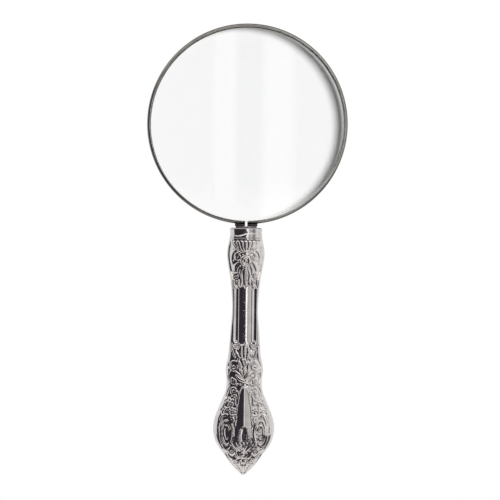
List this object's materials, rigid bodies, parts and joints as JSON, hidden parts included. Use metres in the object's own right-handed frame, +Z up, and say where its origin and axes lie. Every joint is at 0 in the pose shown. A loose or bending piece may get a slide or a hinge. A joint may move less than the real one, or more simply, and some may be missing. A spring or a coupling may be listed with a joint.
{
  "type": "magnifying glass",
  "caption": "Round biconvex reading lens in a thin split rim, on an ornate struck silver handle that screws onto a split stud and so closes the rim on the glass.",
  "frame": {"origin": "under the middle of the whole object's length, at the level of its lowest point, with the object lying flat on its back", "axes": "+Z up through the front of the lens, +Y from the handle towards the lens, +X to the right seen from the front"},
  "size_m": [0.0802, 0.1802, 0.01],
  "materials": {
    "lens_glass": "clear polished optical glass",
    "rim_plate": "bright nickel plate, lightly worn",
    "dark_fibre": "dark vulcanised fibre",
    "ferrule_silver": "polished silver with fine scratches",
    "bush_brass": "turned brass",
    "struck_silver": "struck silver with dark patina in the hollows",
    "filler_resin": "cast resin filler"
  },
  "bodies": {
    "handle": {"ferrule": "ferrule_silver", "threaded_bush": "bush_brass", "handle_front_shell": "struck_silver", "handle_back_shell": "struck_silver", "handle_filler": "filler_resin"},
    "washer": {"spacing_washer": "dark_fibre"},
    "head": {"lens": "lens_glass", "rim_band": "rim_plate", "left_rim_lug": "rim_plate", "right_rim_lug": "rim_plate"}
  },
  "joints": [
    {"name": "head_turn", "type": "hinge", "parent": "handle", "child": "washer", "pos_m": [0, 0.00845, 0.00502], "axis": [0, 1, 0], "range_deg": [0, 2250]},
    {"name": "head_travel", "type": "slide", "parent": "washer", "child": "head", "axis": [0, 1, 0], "range_m": [0, 0.005]}
  ],
  "couplings": [
    {"joint": "head_travel", "follows": "head_turn", "m_per_rad": 0.00012732}
  ]
}
